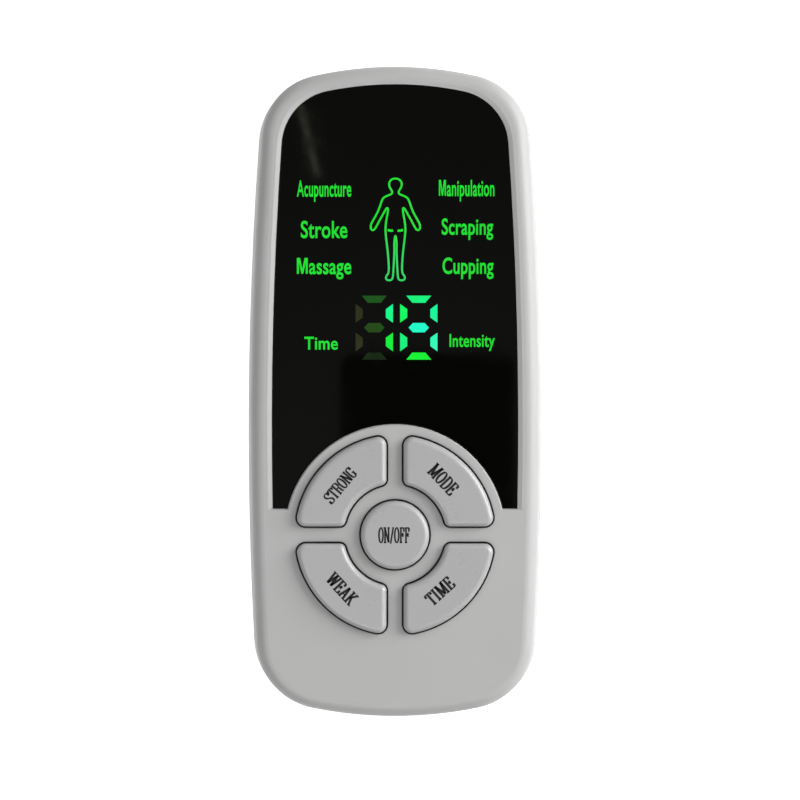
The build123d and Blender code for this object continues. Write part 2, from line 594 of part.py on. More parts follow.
with BuildPart() as board_screws:
    for x, y in BOARD_SCREWS:
        disc(x, y, board_bottom, 18.5, 0.8)
        disc(x, y, board_bottom - 1.3, board_bottom, 1.8)
        for size in [(1.0, 0.25), (0.25, 1.0)]:
            low = (x - size[0], y - size[1], board_bottom - 1.3)
            box(low, (x + size[0], y + size[1], board_bottom - 0.6), Mode.SUBTRACT)
save(board_screws, "board_screws")
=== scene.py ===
"""Looks of the hand-held TENS unit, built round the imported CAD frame.

Metres; +Z comes out of the display.
"""

import json
import math

import bmesh
import bpy
from mathutils import Matrix, Vector


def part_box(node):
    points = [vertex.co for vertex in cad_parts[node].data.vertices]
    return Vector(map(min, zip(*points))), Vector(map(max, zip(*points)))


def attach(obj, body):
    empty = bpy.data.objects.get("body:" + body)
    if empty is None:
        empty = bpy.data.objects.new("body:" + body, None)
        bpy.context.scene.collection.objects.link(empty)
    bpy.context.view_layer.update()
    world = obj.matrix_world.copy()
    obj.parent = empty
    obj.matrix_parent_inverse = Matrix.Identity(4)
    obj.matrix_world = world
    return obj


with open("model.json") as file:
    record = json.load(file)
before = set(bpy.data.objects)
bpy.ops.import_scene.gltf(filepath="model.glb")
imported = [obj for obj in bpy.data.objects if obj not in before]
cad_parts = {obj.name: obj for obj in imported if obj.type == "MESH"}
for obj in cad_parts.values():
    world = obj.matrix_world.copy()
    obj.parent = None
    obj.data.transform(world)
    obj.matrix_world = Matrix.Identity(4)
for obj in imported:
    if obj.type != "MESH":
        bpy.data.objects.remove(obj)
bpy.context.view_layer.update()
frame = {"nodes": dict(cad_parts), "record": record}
nodes = frame["nodes"]
MM = 0.001
scene = bpy.context.scene

# ---------------------------------------------------------------- camera
# over the middle of the unit, looking straight down
CAMERA_AT = (0.98 * MM, -1.7 * MM, 658 * MM)
LENS = 145.8
SENSOR = 36
NEAREST, FURTHEST = 0.01, 20
camera_data = bpy.data.cameras.new("camera")
camera_data.lens = LENS
camera_data.sensor_width = SENSOR
camera_data.clip_start = NEAREST
camera_data.clip_end = FURTHEST
camera = bpy.data.objects.new("camera", camera_data)
camera.location = CAMERA_AT
scene.collection.objects.link(camera)
scene.camera = camera
scene.view_settings.view_transform = "Standard"

# ---------------------------------------------------------------- places taken from the frame
WINDOW_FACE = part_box("display_window")[1].z
dial_low, dial_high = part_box("power_key")
DIAL = ((dial_low.x + dial_high.x) / 2, (dial_low.y + dial_high.y) / 2)
KEY_TOP = dial_high.z


# ---------------------------------------------------------------- materials
def linear(*srgb):
    """Linear colour from 0-255 screen values."""
    values = [v / 255 for v in srgb]
    return tuple(v / 12.92 if v <= 0.04045 else ((v + 0.055) / 1.055) ** 2.4 for v in values) + (1.0,)


def feed(tree, value, socket):
    """Links a node's output to a socket, or sets the socket to a plain value."""
    if isinstance(value, bpy.types.NodeSocket):
        tree.links.new(value, socket)
    else:
        socket.default_value = value


def map_range(tree, value, low, high, to_low, to_high):
    """Carries a value from the range low to high over to the range to_low to to_high."""
    made = tree.nodes.new("ShaderNodeMapRange")
    settings = {"Value": value, "From Min": low, "From Max": high, "To Min": to_low, "To Max": to_high}
    for socket, setting in settings.items():
        feed(tree, setting, made.inputs[socket])
    return made.outputs["Result"]


class Material:
    """A Principled material with helpers for procedural detail in object space."""

    def __init__(self, name):
        self.material = bpy.data.materials.new(name)
        self.material.use_nodes = True
        self.tree = self.material.node_tree
        self.shader = self.tree.nodes["Principled BSDF"]
        self.place = self.tree.nodes.new("ShaderNodeTexCoord").outputs["Object"]

    def node(self, kind, inputs=(), **settings):
        made = self.tree.nodes.new(kind)
        for key, value in settings.items():
            setattr(made, key, value)
        for key, value in dict(inputs).items():
            feed(self.tree, value, made.inputs[key])
        return made

    def noise(self, per_mm, detail=3.0, rough=0.55, stretch=None):
        at = self.place
        if stretch:
            at = self.node("ShaderNodeMapping", {"Vector": at, "Scale": stretch}).outputs["Vector"]
        inputs = {"Vector": at, "Scale": per_mm / MM, "Detail": detail, "Roughness": rough}
        return self.node("ShaderNodeTexNoise", inputs).outputs["Fac"]

    def ramp(self, value, low, high, to_low=0.0, to_high=1.0):
        return map_range(self.tree, value, low, high, to_low, to_high)

    def mix(self, factor, a, b):
        # a colour Mix node keeps its factor in socket 0 and its colours in sockets 6 and 7
        return self.node("ShaderNodeMix", {0: factor, 6: a, 7: b}, data_type="RGBA").outputs[2]

    def minus(self, a, b):
        return self.node("ShaderNodeMath", {0: a, 1: b}, operation="SUBTRACT").outputs[0]

    def occlusion(self, reach_mm, samples, inside=False):
        """How open the surface is within a reach; inside, how thick the wall behind it is."""
        inputs = {"Distance": reach_mm * MM}
        made = self.node("ShaderNodeAmbientOcclusion", inputs, samples=samples, inside=inside)
        return made.outputs["AO"]

    def along(self, axis):
        """The place in the object's frame along X, Y or Z, in metres."""
        return self.node("ShaderNodeSeparateXYZ", {"Vector": self.place}).outputs[axis]

    def bump(self, height, depth_mm, strength=1.0, under=None):
        inputs = {"Height": height, "Distance": depth_mm * MM, "Strength": strength}
        if under is not None:
            inputs["Normal"] = under
        return self.node("ShaderNodeBump", inputs).outputs["Normal"]

    def link(self, value, socket):
        self.tree.links.new(value, self.shader.inputs[socket])

    def set(self, **values):
        for key, value in values.items():
            self.shader.inputs[key.replace("_", " ")].default_value = value


DRIFT = 0.03  # how far a moulding's colour wanders, as a share of it
YELLOWING = 1.6  # how many times further its blue falls where it is darkest
DUST = linear(150, 148, 142)
# colour of the painted shade that darkens corners
PAINTED_SHADE = linear(70, 68, 64)
# colour of the painted shade that blackens narrow gaps
GAP_SHADE = linear(14, 13, 12)
SHADE_REACH = 2.0  # mm that painted shade reaches out of a corner
EDGE_REACH = 0.8  # mm that wear reaches in from an edge
EDGE_POLISH = 0.06  # how much smoother than the rest an edge is worn


def moulded(name, colour, rough, grain_mm, grain_depth, corner_shade=0.45, specular=0.5):
    """Moulded plastic: spark-eroded grain, colour drift, dust specks, painted shade darkening corners and
    blackening narrow gaps, polished edges.
    """
    m = Material(name)
    base = linear(*colour)
    lighter = tuple(min(c * (1 + DRIFT), 1) for c in base[:3]) + (1,)
    darker = (base[0] * (1 - DRIFT), base[1] * (1 - DRIFT), base[2] * (1 - YELLOWING * DRIFT), 1)
    shade = m.mix(m.noise(0.05, 4), darker, lighter)
    specks = m.ramp(m.noise(2.2, 2), 0.66, 0.78, 0.0, 0.10)
    shade = m.mix(specks, shade, DUST)
    near = m.occlusion(SHADE_REACH, 8)
    # painted shade: darker towards the shade colour where other surfaces close in within the reach
    shade = m.mix(m.ramp(near, 0.25, 0.92, corner_shade, 0.0), shade, PAINTED_SHADE)
    # painted shade: near-black where the surface sits deep in a narrow gap
    shade = m.mix(m.ramp(near, 0.07, 0.32, 0.95, 0.0), shade, GAP_SHADE)
    m.link(shade, "Base Color")
    polish = m.ramp(m.occlusion(EDGE_REACH, 6, inside=True), 0.55, 0.9, EDGE_POLISH, 0.0)
    smudge = m.ramp(m.noise(0.12, 5, 0.65), 0.3, 0.75, rough - 0.05, rough + 0.07)
    m.link(m.minus(smudge, polish), "Roughness")
    soft = m.bump(m.noise(0.035, 2), 0.10, 0.35)
    m.link(m.bump(m.noise(1 / grain_mm, 3), grain_depth, 1.0, soft), "Normal")
    m.set(Specular_IOR_Level=specular)
    return m


PLASTIC_IOR = 1.49


def glossy(name, colour, rough, prints=0.10):
    """Polished plastic with fingerprints in its gloss and a surface that isn't quite flat."""
    m = Material(name)
    base = linear(*colour)
    lighter = tuple(c * 1.25 for c in base[:3]) + (1,)
    m.link(m.mix(m.noise(0.08, 3), base, lighter), "Base Color")
    m.link(m.ramp(m.noise(0.18, 6, 0.7), 0.45, 0.8, rough, rough + prints), "Roughness")
    m.link(m.bump(m.noise(0.02, 2), 0.05, 0.25), "Normal")
    m.set(IOR=PLASTIC_IOR)
    return m


def metal(name, colour, rough, brushed=(1, 1, 1), tarnish=0.2):
    """Plated metal with fine brushing and a little tarnish."""
    m = Material(name)
    base = linear(*colour)
    patches = m.ramp(m.noise(0.5, 5), 0.5, 0.75, 0.0, tarnish)
    m.link(m.mix(patches, base, linear(96, 84, 66)), "Base Color")
    lines = m.noise(3.0, 3, 0.6, brushed)
    m.link(m.ramp(lines, 0.3, 0.7, rough - 0.06, rough + 0.12), "Roughness")
    m.link(m.bump(lines, 0.004), "Normal")
    m.set(Metallic=1.0)
    return m


def lit(name, colour, strength, uneven=0.25, tint=None, rise=None):
    """A printed legend with light behind it, uneven in patches or, with rise, from its foot up."""
    m = Material(name)
    base = linear(*colour)
    if rise:
        patches = m.ramp(m.along("Y"), rise[0] * MM, rise[1] * MM)
    else:
        patches = m.ramp(m.noise(0.33, 2), 0.3, 0.7)
    other = linear(*tint) if tint else tuple(c * (1 - uneven) for c in base[:3]) + (1,)
    m.link(m.mix(patches, other, base), "Emission Color")
    m.set(Emission_Strength=strength)
    m.set(Base_Color=(0.004, 0.006, 0.004, 1), Roughness=0.08, IOR=PLASTIC_IOR)
    return m


BAND_FROM = -17.2  # where the dark sleeve of a cell turns to its copper-coloured band
BAND_SOFTNESS = 0.1


def cell_sleeve(name):
    """A printed cell: a dark sleeve with a copper-coloured band, scuffed."""
    m = Material(name)
    band = m.ramp(m.along("Y"), BAND_FROM * MM, (BAND_FROM + BAND_SOFTNESS) * MM)
    scuffs = m.ramp(m.noise(0.6, 6, 0.7), 0.62, 0.72, 0.0, 0.35)
    shade = m.mix(band, linear(24, 26, 30), linear(178, 112, 58))
    m.link(m.mix(scuffs, shade, linear(150, 148, 146)), "Base Color")
    m.link(m.ramp(m.noise(0.4, 4), 0.3, 0.7, 0.22, 0.38), "Roughness")
    m.link(m.bump(m.noise(0.9, 3), 0.01), "Normal")
    m.set(Metallic=0.35)
    return m


def board_mask(name):
    """Solder mask over copper tracks that run in steps."""
    m = Material(name)
    layout = {"Scale": 260.0, "Mortar Size": 0.012, "Brick Width": 0.9, "Row Height": 0.22}
    tracks = m.node("ShaderNodeTexBrick", {"Vector": m.place, **layout}, offset=0.35).outputs["Fac"]
    m.link(m.mix(tracks, linear(20, 86, 42), linear(44, 124, 62)), "Base Color")
    m.link(m.ramp(m.noise(0.8, 3), 0.3, 0.7, 0.25, 0.4), "Roughness")
    m.link(m.bump(tracks, 0.035), "Normal")
    return m


# every look takes a screen colour and a roughness, and moulded plastic its grain's size and depth in mm
SLOT_LOOKS = {
    "white_abs": lambda n: moulded(n, (186, 186, 186), 0.42, 0.22, 0.006),
    "key_abs": lambda n: moulded(n, (180, 180, 181), 0.30, 0.30, 0.0016, specular=0.7),
    "smoked_acrylic": lambda n: glossy(n, (5, 5, 4), 0.03, prints=0.05),
    "tape": lambda n: moulded(n, (18, 18, 18), 0.6, 0.15, 0.01, corner_shade=0.1),
    "film": lambda n: glossy(n, (16, 16, 16), 0.2),
    "white_housing": lambda n: moulded(n, (225, 225, 222), 0.5, 0.2, 0.004),
    "led": lambda n: glossy(n, (170, 205, 150), 0.15),
    "board": board_mask,
    "black_plastic": lambda n: moulded(n, (26, 26, 27), 0.45, 0.14, 0.006, corner_shade=0.15),
    "plunger_plastic": lambda n: moulded(n, (205, 198, 176), 0.4, 0.2, 0.003),
    "transformer": lambda n: moulded(n, (52, 46, 42), 0.6, 0.3, 0.02),
    "sleeve": lambda n: glossy(n, (22, 30, 66), 0.25),
    "tin": lambda n: metal(n, (202, 202, 204), 0.28, brushed=(1, 1, 6)),
    "cell": cell_sleeve,
    "nickel": lambda n: metal(n, (205, 200, 190), 0.3, brushed=(6, 1, 1)),
    "screw": lambda n: metal(n, (172, 172, 176), 0.34, tarnish=0.3),
    "label": lambda n: moulded(n, (222, 222, 220), 0.3, 0.6, 0.0006, corner_shade=0.2),
}
slot_of = {row["node"]: row["material_slot"] for row in frame["record"]["subparts"]}
looks = {slot: make(slot).material for slot, make in SLOT_LOOKS.items()}
for name, obj in nodes.items():
    obj.data.materials.clear()
    obj.data.materials.append(looks[slot_of[name]])


# ---------------------------------------------------------------- flat prints
def finish_piece(name, mesh, material, body):
    """Puts a mesh in the scene as a piece that moves with a body."""
    mesh.materials.clear()
    mesh.materials.append(material)
    obj = bpy.data.objects.new(name, mesh)
    scene.collection.objects.link(obj)
    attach(obj, body)


def add_plate(bm, outline, z, thick):
    """A thin closed plate with the given outline, from z up to z + thick."""
    low = [bm.verts.new((x, y, z)) for x, y in outline]
    high = [bm.verts.new((x, y, z + thick)) for x, y in outline]
    bm.faces.new(low[::-1])
    bm.faces.new(high)
    for n in range(len(outline)):
        k = (n + 1) % len(outline)
        bm.faces.new((low[n], low[k], high[k], high[n]))


def mesh_from(bm, name):
    mesh = bpy.data.meshes.new(name)
    bmesh.ops.recalc_face_normals(bm, faces=bm.faces)
    bm.to_mesh(mesh)
    bm.free()
    return mesh


# a print starts just under the surface that it lies on, so that it leaves no gap
PRINT_LOW = 0.004 * MM
PRINT_THICK = 0.012 * MM
LEGENDS = [
    # word, left, right, baseline, capital height (mm, from the body's centre)
    ("Acupuncture", -19.26, -8.59, 38.28, 3.20),
    ("Stroke", -18.48, -9.36, 30.16, 3.38),
    ("Massage", -19.26, -8.59, 23.07, 3.20),
    ("Manipulation", 8.61, 19.50, 38.38, 3.20),
    ("Scraping", 9.16, 19.26, 30.81, 3.20),
    ("Cupping", 9.33, 19.34, 23.13, 3.20),
    ("Time", -17.79, -11.21, 8.25, 2.54),
    ("Intensity", 10.69, 19.60, 8.78, 2.54),
]


def mesh_of_curve(name, curve):
    """The evaluated mesh of a curve or text."""
    holder = bpy.data.objects.new(name, curve)
    scene.collection.objects.link(holder)
    bpy.context.view_layer.update()
    mesh = bpy.data.meshes.new_from_object(holder.evaluated_get(bpy.context.evaluated_depsgraph_get()))
    bpy.data.objects.remove(holder)
    return mesh


def extent(mesh, axis):
    values = [v.co[axis] for v in mesh.vertices]
    return min(values), max(values)


# font units: text is one unit high and one unit deep until it is scaled to its place
LEGEND_WEIGHT = 0.018
LEGEND_SPACING = 1.04
HALF_DEEP = 0.5
GAP_AFTER_M = 0.08
# a capital M whose legs stay apart when the word is condensed, in shares of its width and height
CAPITAL_M = [
    (0, 0), (0, 1), (0.29, 1), (0.5, 0.32), (0.71, 1), (1, 1), (1, 0),
    (0.81, 0), (0.81, 0.7), (0.585, 0), (0.415, 0), (0.19, 0.7), (0.19, 0),
]


def text_mesh(words):
    """Text in font units, slightly heavier and wider set than the font."""
    curve = bpy.data.curves.new("text", "FONT")
    curve.body = words
    curve.size = 1.0
    curve.offset = LEGEND_WEIGHT
    curve.space_character = LEGEND_SPACING
    curve.extrude = HALF_DEEP
    curve.resolution_u = 6
    return mesh_of_curve("text", curve)


capital_low, capital_high = extent(text_mesh("H"), 1)


def legend_mesh(word):
    """A word in font units; one that starts with M has its own capital."""
    whole = text_mesh(word)
    if word[0] != "M":
        return whole
    low, high = extent(whole, 0)
    rest = text_mesh(word[1:])
    rest_low, rest_high = extent(rest, 0)
    shift = high - rest_high
    bm = bmesh.new()
    bm.from_mesh(rest)
    bmesh.ops.translate(bm, verts=bm.verts, vec=(shift, 0, 0))
    width = shift + rest_low - GAP_AFTER_M - low
    outline = [(low + x * width, y * capital_high) for x, y in CAPITAL_M]
    add_plate(bm, outline, -HALF_DEEP, 2 * HALF_DEEP)
    return mesh_from(bm, word)


legend_green = lit("legend_green", (30, 226, 50), 1.05, 0.15).material
for word, left, right, baseline, height in LEGENDS:
    mesh = legend_mesh(word)
    low, high = extent(mesh, 0)
    scale_x = (right - left) * MM / (high - low)
    scale_y = height * MM / (capital_high - capital_low)
    for v in mesh.vertices:
        v.co.x = left * MM + (v.co.x - low) * scale_x
        v.co.y = baseline * MM + v.co.y * scale_y
        v.co.z = WINDOW_FACE - PRINT_LOW + (v.co.z + HALF_DEEP) * PRINT_THICK
    finish_piece(f"legend_{word.lower()}", mesh, legend_green, "body")

# ---------------------------------------------------------------- digits
DIGIT_WIDTH = 7.33
DIGIT_HEIGHT = 12.56
DIGIT_TOP = 18.78
DIGIT_LEFTS = {"tens": -7.73, "ones": 1.00}
BAR = 1.40
# half lengths of the level bars along their outer and inner edges
BAR_OUTER, BAR_INNER = 2.45, 1.28
# where the side bars start and end, down from the top, along their outer and inner edges
SIDE_OUTER = (1.63, 5.30)
SIDE_INNER = (2.65, 4.30)
# half lengths of the middle bar from point to point and along its flats, and its half width
MIDDLE_POINT, MIDDLE_FLAT, MIDDLE_HALF = 2.00, 1.15, 0.92


def segment_outlines():
    """The seven segments in a digit's own millimetres, from its top left corner."""
    mid = DIGIT_WIDTH / 2
    half = DIGIT_HEIGHT / 2

    def below(shape):
        return [(x, -DIGIT_HEIGHT - y) for x, y in shape]

    bar = [(mid - BAR_OUTER, 0), (mid + BAR_OUTER, 0), (mid + BAR_INNER, -BAR), (mid - BAR_INNER, -BAR)]
    side = [(0, -SIDE_OUTER[0]), (BAR, -SIDE_INNER[0]), (BAR, -SIDE_INNER[1]), (0, -SIDE_OUTER[1])]
    right = [(DIGIT_WIDTH - x, y) for x, y in side]
    flat = -half + MIDDLE_HALF
    hexagon = [(mid - MIDDLE_POINT, -half), (mid - MIDDLE_FLAT, flat), (mid + MIDDLE_FLAT, flat)]
    hexagon += [(DIGIT_WIDTH - x, y) for x, y in below(hexagon)]
    return {
        "top": bar,
        "upper_left": side,
        "upper_right": right,
        "middle": hexagon,
        "lower_left": below(side),
        "lower_right": below(right),
        "bottom": below(bar),
    }


SEGMENT_LIGHT = {
    # digit and segment: colour, and the second colour of its uneven patches
    ("tens", "top"): ((14, 92, 26), (24, 72, 18)),
    ("tens", "upper_left"): ((42, 46, 22), (34, 38, 18)),
    ("tens", "upper_right"): ((4, 250, 110), (16, 246, 152)),
    ("tens", "middle"): ((40, 62, 20), (16, 78, 8)),
    ("tens", "lower_left"): ((46, 48, 26), (36, 38, 20)),
    ("tens", "lower_right"): ((4, 250, 48), (20, 230, 66)),
    ("tens", "bottom"): ((20, 40, 12), (10, 26, 6)),
    ("ones", "top"): ((6, 250, 150), (18, 240, 116)),
    ("ones", "upper_left"): ((4, 252, 104), (10, 244, 74)),
    ("ones", "upper_right"): ((4, 250, 160), (26, 240, 146)),
    ("ones", "middle"): ((30, 254, 206), (20, 246, 190)),
    ("ones", "lower_left"): ((6, 250, 128), (26, 230, 116)),
    ("ones", "lower_right"): ((36, 250, 178), (66, 246, 192)),
    ("ones", "bottom"): ((4, 250, 58), (22, 236, 46)),
}
for digit, left in DIGIT_LEFTS.items():
    for segment, outline in segment_outlines().items():
        bm = bmesh.new()
        placed = [((left + x) * MM, (DIGIT_TOP + y) * MM) for x, y in outline]
        add_plate(bm, placed, WINDOW_FACE - PRINT_LOW, PRINT_THICK)
        piece = f"{digit}_{segment}"
        colour, patch = SEGMENT_LIGHT[digit, segment]
        light = lit(piece, colour, 1.0, tint=patch).material
        finish_piece(piece, mesh_from(bm, piece), light, "body")

# ---------------------------------------------------------------- body pictogram
FIGURE_X = 0.07
FIGURE_FEET = 21.8
THIGH, WAIST = FIGURE_FEET + 4, FIGURE_FEET + 9.5
LINE_WIDTH = 0.37
HIP_WIDTH = 0.46
# the figure's right half, from the top of its head to its crotch, up from its feet
FIGURE_SIDE = [
    # head and neck
    (0, 20.0), (0.75, 19.85), (1.25, 19.2), (1.22, 18.4), (0.85, 17.8), (0.58, 17.3), (0.75, 16.9),
    # shoulder, arm, hand and armpit
    (1.6, 16.6), (2.4, 16.2), (2.75, 15.4), (3.1, 14.3), (3.55, 13.2), (4.3, 11.9), (4.85, 10.9),
    (4.85, 10.0), (4.3, 9.75), (3.8, 10.4), (3.2, 11.6), (2.45, 12.9), (1.75, 14.2), (1.45, 14.2),
    # side and outside of the leg
    (1.5, 13.2), (1.75, 12.0), (1.95, 10.6), (1.95, 9.3), (1.75, 7.6), (1.5, 5.6), (1.35, 3.8),
    # foot and inside of the leg
    (1.25, 1.4), (1.9, 0.75), (1.8, 0.05), (0.9, -0.05), (0.5, 0.4), (0.42, 1.5), (0.3, 3.6),
    (0.2, 5.8), (0.25, 7.4), (0, 9.2),
]
HIP_MARK = [(0.45, 9.8), (0.9, 9.62), (1.5, 9.9)]


def ribbon(name, paths, width, closed):
    """Flat rounded lines that follow points in millimetres, just proud of the window."""
    curve = bpy.data.curves.new(name, "CURVE")
    curve.dimensions = "3D"
    curve.bevel_depth = width / 2 * MM
    curve.bevel_resolution = 2
    curve.use_fill_caps = True
    for path in paths:
        spline = curve.splines.new("NURBS")
        spline.points.add(len(path) - 1)
        for point, (x, y) in zip(spline.points, path):
            point.co = (x * MM, y * MM, 0, 1)
        spline.use_cyclic_u = closed
        spline.order_u = 3
        spline.use_endpoint_u = not closed
        spline.resolution_u = 4
    mesh = mesh_of_curve(name, curve)
    for v in mesh.vertices:
        v.co.z = WINDOW_FACE - PRINT_LOW + PRINT_THICK * (0.5 + v.co.z / (width * MM))
    return mesh


def mirrored(path):
    return [(-x, y) for x, y in path]


outline = FIGURE_SIDE + mirrored(FIGURE_SIDE[1:-1])[::-1]
figure_green = lit("figure_green", (24, 226, 46), 1.0, tint=(42, 214, 96), rise=(THIGH, WAIST)).material
for name, paths, width, closed in (
    ("figure_outline", [outline], LINE_WIDTH, True),
    ("figure_hips", [HIP_MARK, mirrored(HIP_MARK)], HIP_WIDTH, False),
):
    placed = [[(FIGURE_X + x, FIGURE_FEET + y) for x, y in path] for path in paths]
    finish_piece(name, ribbon(name, placed, width, closed), figure_green, "body")

# ---------------------------------------------------------------- key lettering
SERIF = 0.17
NIB = (0.23, 0.10)  # stroke thickness across upright and level strokes, in letter heights
LETTER_GAP = 0.06
CURVE_STEPS = 6
RING_STEPS = 36


def feet(*places):
    """Short level strokes under and over stems."""
    return [[(x - SERIF, y), (x + SERIF, y)] for x, y in places]


# Each glyph: its width, then its strokes, in a box one unit high. A stroke runs straight from point to
# point, "~" makes it curve, and "o" makes a ring with the given centre and radii.
GLYPHS = {
    "S": (0.62, [
        ["~", (0.54, 0.74), (0.5, 0.93), (0.31, 1.0), (0.1, 0.9), (0.07, 0.74), (0.2, 0.58), (0.42, 0.44),
         (0.56, 0.27), (0.52, 0.09), (0.31, 0.0), (0.11, 0.07), (0.07, 0.27)],
        [(0.56, 0.68), (0.56, 1.0)],
        [(0.05, 0.0), (0.05, 0.32)],
    ]),
    "T": (0.66, [
        [(0.33, 0), (0.33, 1)],
        [(0.03, 1), (0.63, 1)],
        [(0.03, 0.76), (0.05, 1)],
        [(0.63, 0.76), (0.61, 1)],
        *feet((0.33, 0)),
    ]),
    "R": (0.72, [
        [(0.16, 0), (0.16, 1)],
        ["~", (0.16, 1), (0.42, 1), (0.6, 0.9), (0.6, 0.62), (0.42, 0.52), (0.16, 0.52)],
        ["~", (0.36, 0.52), (0.52, 0.4), (0.55, 0.1), (0.7, 0.0)],
        *feet((0.16, 0), (0.14, 1)),
    ]),
    "O": (0.66, [["o", (0.33, 0.5), (0.27, 0.5)]]),
    "N": (0.76, [
        [(0.15, 0), (0.15, 1)],
        [(0.12, 1), (0.62, 0)],
        [(0.62, 0), (0.62, 1)],
        *feet((0.15, 0), (0.11, 1), (0.62, 1)),
    ]),
    "G": (0.68, [
        ["~", (0.54, 0.76), (0.48, 0.95), (0.32, 1.0), (0.12, 0.88), (0.06, 0.5), (0.12, 0.12),
         (0.32, 0.0), (0.48, 0.05), (0.55, 0.2)],
        [(0.55, 0.05), (0.55, 0.42)],
        [(0.38, 0.42), (0.68, 0.42)],
        [(0.57, 0.68), (0.57, 1.0)],
    ]),
    "M": (0.92, [
        [(0.14, 0), (0.14, 1)],
        [(0.14, 1), (0.45, 0.05)],
        [(0.45, 0.05), (0.76, 1)],
        [(0.76, 0), (0.76, 1)],
        *feet((0.14, 0), (0.12, 1), (0.76, 0), (0.78, 1)),
    ]),
    "D": (0.7, [
        [(0.16, 0), (0.16, 1)],
        ["~", (0.02, 1), (0.36, 1), (0.57, 0.85), (0.63, 0.5), (0.57, 0.15), (0.36, 0), (0.02, 0)],
    ]),
    "E": (0.66, [
        [(0.16, 0), (0.16, 1)],
        [(0.02, 1), (0.58, 1)],
        [(0.02, 0), (0.6, 0)],
        [(0.16, 0.52), (0.44, 0.52)],
        [(0.58, 0.74), (0.56, 1)],
        [(0.61, 0.28), (0.58, 0)],
        [(0.44, 0.38), (0.44, 0.66)],
    ]),
    "W": (0.98, [
        [(0.1, 1), (0.28, 0)],
        [(0.28, 0), (0.5, 0.95)],
        [(0.5, 0.95), (0.68, 0)],
        [(0.68, 0), (0.88, 1)],
        *feet((0.12, 1), (0.5, 1), (0.86, 1)),
    ]),
    "A": (0.72, [
        [(0.12, 0), (0.36, 1)],
        [(0.36, 1), (0.6, 0)],
        [(0.2, 0.33), (0.54, 0.33)],
        *feet((0.12, 0), (0.6, 0)),
    ]),
    "K": (0.76, [
        [(0.16, 0), (0.16, 1)],
        [(0.2, 0.42), (0.6, 1)],
        [(0.3, 0.58), (0.6, 0)],
        *feet((0.16, 0), (0.14, 1), (0.6, 1), (0.62, 0)),
    ]),
    "I": (0.42, [[(0.21, 0), (0.21, 1)], *feet((0.21, 0), (0.21, 1))]),
    "F": (0.62, [
        [(0.16, 0), (0.16, 1)],
        [(0.02, 1), (0.56, 1)],
        [(0.16, 0.52), (0.42, 0.52)],
        [(0.57, 0.74), (0.54, 1)],
        [(0.42, 0.38), (0.42, 0.66)],
        *feet((0.16, 0)),
    ]),
    "/": (0.5, [[(0.06, -0.08), (0.44, 1.06)]]),
}


def smoothed(points):
    """Points along a Catmull-Rom curve through the given ones."""
    ends = [points[0]] + points + [points[-1]]
    path = []
    for a, b, c, d in zip(ends, ends[1:], ends[2:], ends[3:]):
        for step in range(CURVE_STEPS):
            t = step / CURVE_STEPS
            path.append(tuple(
                0.5 * (2 * b[k] + (c[k] - a[k]) * t + (2 * a[k] - 5 * b[k] + 4 * c[k] - d[k]) * t * t
                       + (3 * b[k] - a[k] - 3 * c[k] + d[k]) * t ** 3)
                for k in (0, 1)))
    return path + [points[-1]]


def stroke_points(stroke):
    """The points of a stroke and whether it closes."""
    if stroke[0] == "~":
        return smoothed(stroke[1:]), False
    if stroke[0] == "o":
        (cx, cy), (rx, ry) = stroke[1:]
        turns = [2 * math.pi * n / RING_STEPS for n in range(RING_STEPS)]
        return [(cx + rx * math.cos(t), cy + ry * math.sin(t)) for t in turns], True
    return list(stroke), False


def add_stroke(bm, points, closed, place, z):
    """A flat stroke whose thickness follows a broad nib, as a thin closed strip."""
    count = len(points)
    rows = []
    for n, (x, y) in enumerate(points):
        if closed:
            before, after = points[n - 1], points[(n + 1) % count]
        else:
            before, after = points[max(n - 1, 0)], points[min(n + 1, count - 1)]
        along = Vector((after[0] - before[0], after[1] - before[1])).normalized()
        across = Vector((-along.y, along.x))
        half = 0.5 * math.hypot(NIB[0] * across.x, NIB[1] * across.y)
        row = []
        for side, height in ((-1, 0), (1, 0), (1, PRINT_THICK), (-1, PRINT_THICK)):
            px, py = place(x + side * half * across.x, y + side * half * across.y)
            row.append(bm.verts.new((px, py, z + height)))
        rows.append(row)
    pairs = list(zip(rows, rows[1:])) + ([(rows[-1], rows[0])] if closed else [])
    for first, second in pairs:
        for k in range(4):
            m = (k + 1) % 4
            bm.faces.new((first[k], first[m], second[m], second[k]))
    if not closed:
        bm.faces.new(rows[0][::-1])
        bm.faces.new(rows[-1])


KEY_WORDS = {
    # key: word, its centre from the dial's centre, length, letter height (mm), angle (degrees)
    "strong": ("STRONG", (-10.72, 9.75), 7.75, 2.30, 50),
    "mode": ("MODE", (9.45, 10.90), 6.40, 2.60, -47),
    "weak": ("WEAK", (-10.35, -10.50), 6.90, 2.50, -47),
    "time": ("TIME", (8.80, -10.95), 6.05, 2.50, 42),
    "power": ("ON/OFF", (-0.20, 0.0), 6.05, 2.85, 0),
}


def word_mesh(name, word, centre, length, height, angle):
    """A word in strokes on the keys' top, squeezed to its length and turned about its centre."""
    total = sum(GLYPHS[c][0] for c in word) + LETTER_GAP * (len(word) - 1)
    squeeze = length / total
    turn = Matrix.Rotation(math.radians(angle), 2)
    start = 0.0

    def place(x, y):
        flat = turn @ Vector((((start + x) - total / 2) * squeeze, (y - 0.5) * height))
        return DIAL[0] + (centre[0] + flat.x) * MM, DIAL[1] + (centre[1] + flat.y) * MM

    bm = bmesh.new()
    for character in word:
        width, strokes = GLYPHS[character]
        for stroke in strokes:
            points, closed = stroke_points(stroke)
            add_stroke(bm, points, closed, place, KEY_TOP - PRINT_LOW)
        start += width + LETTER_GAP
    return mesh_from(bm, name)


ink = moulded("key_ink", (30, 28, 27), 0.5, 0.12, 0.004, corner_shade=0.0, specular=0.4).material
for key, layout in KEY_WORDS.items():
    piece = f"{key}_word"
    finish_piece(piece, word_mesh(piece, *layout), ink, f"{key}_button")

